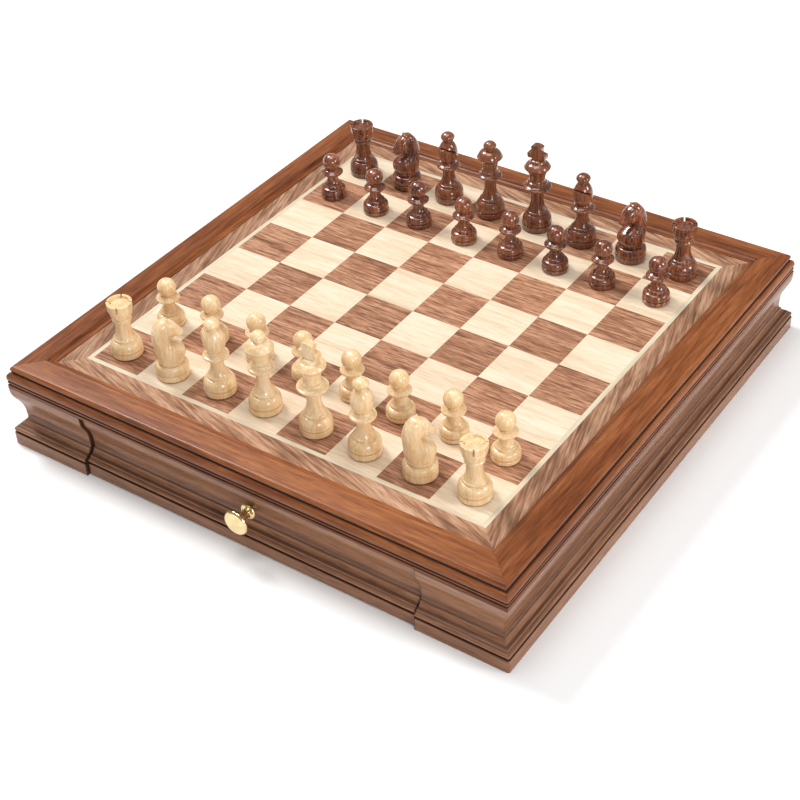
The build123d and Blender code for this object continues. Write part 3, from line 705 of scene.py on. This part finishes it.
def knight_head():
    """A horse's head, forwards along +x: rings of a superellipse up the neck, rings round a
    curve for the muzzle, egg shapes for cheeks, brows, eyes and ears, closed into one skin
    and smoothed. Fine strokes then run down the mane and the sides of the neck."""
    around = 64
    angle = np.linspace(0, 2 * math.pi, around, endpoint=False)
    cosine, sine = np.cos(angle), np.sin(angle)
    square_cosine = np.sign(cosine) * np.abs(cosine) ** 0.85
    square_sine = np.sign(sine) * np.abs(sine) ** 0.85
    parts = []

    def closed_rings(rings):
        flat = rings.reshape(-1, 3)
        faces = grid_faces(len(rings), around)
        faces += pole_faces(0, around, len(flat), False)
        faces += pole_faces((len(rings) - 1) * around, around, len(flat) + 1, True)
        parts.append((np.vstack([flat, rings[0].mean(0), rings[-1].mean(0)]), faces))

    # height, back, front, half width
    neck = through([
        (12.9, -8.3, 8.0, 8.2), (15.5, -8.9, 9.4, 8.5), (18.5, -9.3, 9.8, 8.5), (21.5, -9.5, 8.6, 8.1),
        (24.0, -9.7, 5.0, 7.4), (26.5, -9.9, 1.4, 6.9), (29.5, -10.0, 0.2, 6.5), (33.5, -9.6, 2.2, 6.1),
        (37.5, -8.2, 3.0, 5.4), (40.2, -6.2, 2.4, 4.4), (41.9, -4.4, 1.4, 3.2), (42.7, -2.6, 0.0, 1.2),
    ], 60)
    z, back, front, half = (column[:, None] for column in neck.T)
    closed_rings(np.stack([
        (back + front) / 2 + (front - back) / 2 * square_cosine,
        half * square_sine,
        np.broadcast_to(z, (60, around)),
    ], -1))

    # centre x and z, half height, half width along the muzzle
    muzzle = through([
        (-3.0, 38.2, 3.0, 4.0), (-0.5, 37.6, 4.2, 5.0), (2.2, 35.8, 4.4, 5.1), (4.6, 33.6, 3.8, 4.5),
        (6.7, 31.6, 3.1, 3.8), (8.2, 30.2, 2.7, 3.6), (9.1, 29.4, 1.9, 2.7), (9.4, 29.1, 0.8, 1.2),
    ], 40)
    x, z, high, half = (column[:, None] for column in muzzle.T)
    run = np.gradient(muzzle[:, :2], axis=0)
    run /= np.hypot(*run.T)[:, None]
    closed_rings(np.stack([
        x - run[:, 1:] * high * square_cosine,
        -half * square_sine,
        z + run[:, :1] * high * square_cosine,
    ], -1))

    def egg(centre, radii, tip=0.0):
        rise = np.linspace(-math.pi / 2 + 0.08, math.pi / 2 - 0.08, 24)[:, None]
        swell = np.cos(rise) * (1 - tip * (1 + np.sin(rise)) / 2)
        closed_rings(np.stack([
            centre[0] + radii[0] * swell * cosine,
            centre[1] + radii[1] * swell * sine,
            centre[2] + radii[2] * np.sin(rise) * np.ones(around),
        ], -1))

    for side in (-1, 1):
        egg((1.6, side * 3.0, 33.4), (3.3, 2.7, 3.6))
        egg((3.8, side * 3.5, 36.8), (1.7, 1.3, 1.0))
        egg((0.3, side * 2.3, 41.4), (1.5, 1.2, 2.6), tip=0.75)
        egg((8.2, side * 2.5, 30.6), (1.1, 1.1, 0.9))
    egg((-2.4, 0, 39.0), (2.6, 1.5, 3.6))

    points = np.vstack([part[0] for part in parts])
    faces, offset = [], 0
    for part_points, part_faces in parts:
        faces += [[index + offset for index in face] for face in part_faces]
        offset += len(part_points)
    rough = bpy.data.meshes.new("knight_rough")
    rough.from_pydata(points.tolist(), [], faces)
    block = bpy.data.objects.new("knight_block", rough)
    bpy.context.scene.collection.objects.link(block)
    remesh = block.modifiers.new("skin", "REMESH")
    remesh.mode = "VOXEL"
    remesh.voxel_size = 0.36
    relax = block.modifiers.new("relax", "SMOOTH")
    relax.factor = 0.5
    relax.iterations = 5
    graph = bpy.context.evaluated_depsgraph_get()
    skin = bpy.data.meshes.new_from_object(block.evaluated_get(graph))
    co = np.zeros(len(skin.vertices) * 3)
    skin.vertices.foreach_get("co", co)
    normal = np.zeros(len(skin.vertices) * 3)
    skin.vertices.foreach_get("normal", normal)
    skin_faces = [list(face.vertices) for face in skin.polygons]
    bpy.data.objects.remove(block)
    bpy.data.meshes.remove(rough)
    bpy.data.meshes.remove(skin)
    co, normal = co.reshape(-1, 3), normal.reshape(-1, 3)
    x, y, z = co.T
    # strokes fan out from the poll, down the side of the neck towards the chest
    fan = np.arctan2(x + 2.0 + 0.012 * (40 - z) ** 2, 48 - z)
    side = np.clip((np.abs(y) - 2.6) / 1.6, 0, 1)
    band = np.clip((x + 8.2) / 1.0, 0, 1) * np.clip((2.6 - x - 0.16 * (z - 30)) / 1.2, 0, 1)
    height = np.clip((z - 15.0) / 3.0, 0, 1) * np.clip((40.5 - z) / 1.5, 0, 1)
    cut = side * band * height * np.clip(np.sin(fan * 62.0) - 0.1, 0, 1)
    crest = np.clip((-x - 2.0) / 2.0, 0, 1) * np.clip((1.4 - np.abs(y)) / 0.6, 0, 1)
    crest *= np.clip((z - 17) / 3, 0, 1) * np.clip(np.sin(z * 2.4 + y) - 0.2, 0, 1)
    mouth = np.exp(-((z - (28.6 - 0.20 * (x - 8.0))) / 0.35) ** 2) * np.clip((x - 6.6) / 1.2, 0, 1)
    eye = np.exp(-((np.hypot(x - 4.0, z - 35.6) - 0.95) / 0.3) ** 2) * np.clip((np.abs(y) - 2.5) / 1, 0, 1)
    sunk = 0.34 * cut + 0.18 * crest + 0.45 * mouth + 0.28 * eye
    return co - normal * sunk[:, None], skin_faces


def cross_piece():
    """The king's cross: an outline of arcs in the upright plane, given thickness along y."""
    half = softened([
        (2.7, 54.4), (2.8, 56.0, -0.2), (6.2, 55.8), (6.6, 60.0, 0.4), (3.2, 60.4), (4.1, 65.0, -0.2),
        (0, 66.2, dome(4.1, 1.2)),
    ], 0.7)
    outline = np.vstack([half, half[::-1][1:] * (-1, 1)])
    count = len(outline)
    thick = 2.6
    near = np.column_stack([outline[:, 0], np.full(count, -thick), outline[:, 1]])
    far = near * (1, -1, 1)
    ring = np.arange(count)
    after = (ring + 1) % count
    faces = np.stack([ring + count, after + count, after, ring], -1).tolist()
    faces.append(ring.tolist())
    faces.append((ring + count).tolist()[::-1])
    return np.vstack([near, far]), faces


head_points, head_faces = knight_head()
shapes = {kind: turned_surface(softened(section, 0.15), 80) for kind, section in sections.items()}
shapes["rook"] = rook_tower()
cross_points, cross_faces = cross_piece()
pad_outline = softened([(0, 0), (1.0, 0), (1.0, pad), (0, pad)], 0.15)

armies = (("light", 1, boxwood, "boxwood"), ("dark", -1, lacquered, "stained_wood"))
for army, facing, finish, slot_name in armies:
    shapes["bishop"] = bishop_head(facing)
    men = sorted(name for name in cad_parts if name.startswith(army) and name.count("_") == 2)
    for node_name in men:
        kind = node_name.split("_")[1]
        low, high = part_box(node_name)
        middle = np.array([(low.x + high.x) / 2, (low.y + high.y) / 2, low.z]) / MM
        points, faces = shapes[kind]
        piece = made_object(node_name + "_turned", points + middle, faces, finish)
        stands_for(piece, node_name, node_name)
        if kind == "knight":
            ahead = facing * np.array([math.sin(knight_turn), math.cos(knight_turn)])
            turned_head = np.column_stack([
                head_points[:, :1] * ahead + head_points[:, 1:2] * (-ahead[1], ahead[0]), head_points[:, 2],
            ])
            head = made_object(node_name + "_head", turned_head + middle, head_faces, finish, 60)
            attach(head, node_name)
        if kind == "king":
            cross = made_object(node_name + "_cross", cross_points + middle, cross_faces, finish, 60)
            eased_edges(cross, 0.9, 4, 60)
            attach(cross, node_name)
        disc, disc_faces = turned_surface(pad_outline * (foot_radius.get(kind, big) - pad_inset, 1), 48)
        base = made_object(node_name + "_pad", disc + middle, disc_faces, base_felt)
        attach(base, node_name)

# ------------------------------------------------------------------ floor, light, camera
def flat(name, half, height, material):
    """A flat square of the given half width."""
    corners = [(-half, -half, height), (half, -half, height), (half, half, height), (-half, half, height)]
    piece = made_object(name, corners, [[0, 1, 2, 3]], material)
    return piece


paper = Shader("pale_floor")
paper.set(Base_Color=(0.93, 0.93, 0.93, 1), Roughness=0.9, Specular_IOR_Level=0.1)
flat("floor", 6000, -0.05, paper.material)

world = bpy.data.worlds.new("studio")
bpy.context.scene.world = world
world.use_nodes = True
world.node_tree.nodes["Background"].inputs[0].default_value = (1, 1, 1, 1)
world.node_tree.nodes["Background"].inputs[1].default_value = 0.32


def soft_light(name, place, aim, size, power):
    """A square area light at place, turned to face aim."""
    lamp = bpy.data.lights.new(name, "AREA")
    lamp.shape = "RECTANGLE"
    lamp.size, lamp.size_y = size
    lamp.energy = power
    holder = bpy.data.objects.new(name, lamp)
    holder.location = place
    holder.rotation_mode = "QUATERNION"
    holder.rotation_quaternion = (Vector(aim) - Vector(place)).to_track_quat("-Z", "Y")
    bpy.context.scene.collection.objects.link(holder)


soft_light("overhead", (-0.1, -0.1, 1.7), (0, 0, 0.05), (0.9, 0.9), 12)
soft_light("key", (-1.1, 0.15, 1.5), (0, 0, 0.05), (0.5, 0.5), 22)
soft_light("fill", (1.3, -0.9, 0.55), (0, 0, 0.03), (0.4, 0.5), 9)
soft_light("side", (1.5, 0.3, 0.75), (0, 0, 0.03), (0.4, 0.5), 9)

camera_data = bpy.data.cameras.new("camera")
camera_data.sensor_width = 36.0
camera_data.lens = 73.4
camera_data.shift_x = -0.0335
camera_data.shift_y = -0.0025
camera_data.clip_start = 0.05
camera = bpy.data.objects.new("camera", camera_data)
right = Vector((0.83195, 0.55389, -0.03258))
up = Vector((-0.32631, 0.53592, 0.77866))
back = Vector((0.44875, -0.63718, 0.62660))
stand = Matrix.Translation((0.50995, -0.71241, 0.69029))
camera.matrix_world = stand @ Matrix((right, up, back)).transposed().to_4x4()
bpy.context.scene.collection.objects.link(camera)
bpy.context.scene.camera = camera
bpy.context.scene.view_settings.view_transform = "Standard"
